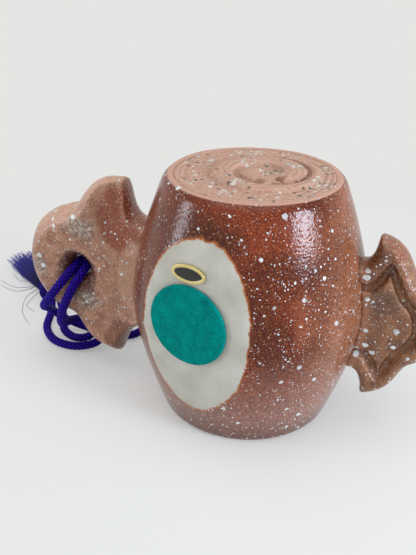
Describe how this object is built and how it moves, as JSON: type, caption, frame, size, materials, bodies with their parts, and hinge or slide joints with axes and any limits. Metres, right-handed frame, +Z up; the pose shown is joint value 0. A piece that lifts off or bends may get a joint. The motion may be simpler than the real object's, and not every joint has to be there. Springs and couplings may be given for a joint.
{
  "type": "lucky mallet ornament",
  "caption": "Speckled red-brown stoneware ornament in the shape of a lucky mallet, with a felt foot pad, a snake in low relief, a purple cord and a tassel",
  "frame": {"origin": "where the barrel's axis meets the ground, in the middle of the lower end that it stands on", "axes": "+X points from the handle to the tail, +Y away from the side with the felt foot pad, +Z up along the barrel"},
  "size_m": [0.2008, 0.1022, 0.0839],
  "materials": {
    "glazed_clay": "glossy red-brown wood-ash glaze with white feldspar specks",
    "dry_clay": "dry pinkish unglazed stoneware",
    "green_felt": "pressed teal felt",
    "gold_foil": "bare embossed gold foil with a black middle",
    "purple_yarn": "deep purple braided rayon yarn"
  },
  "bodies": {
    "root": {"barrel_shell": "glazed_clay", "upper_end_disc": "dry_clay", "lower_end_disc": "dry_clay", "snake_relief": "dry_clay", "handle_plaque": "glazed_clay", "tail_plaque": "glazed_clay", "felt_foot_pad": "green_felt", "foil_label": "gold_foil", "hanging_cord": "purple_yarn", "tassel_head": "purple_yarn", "tassel_fringe": "purple_yarn"}
  },
  "joints": []
}
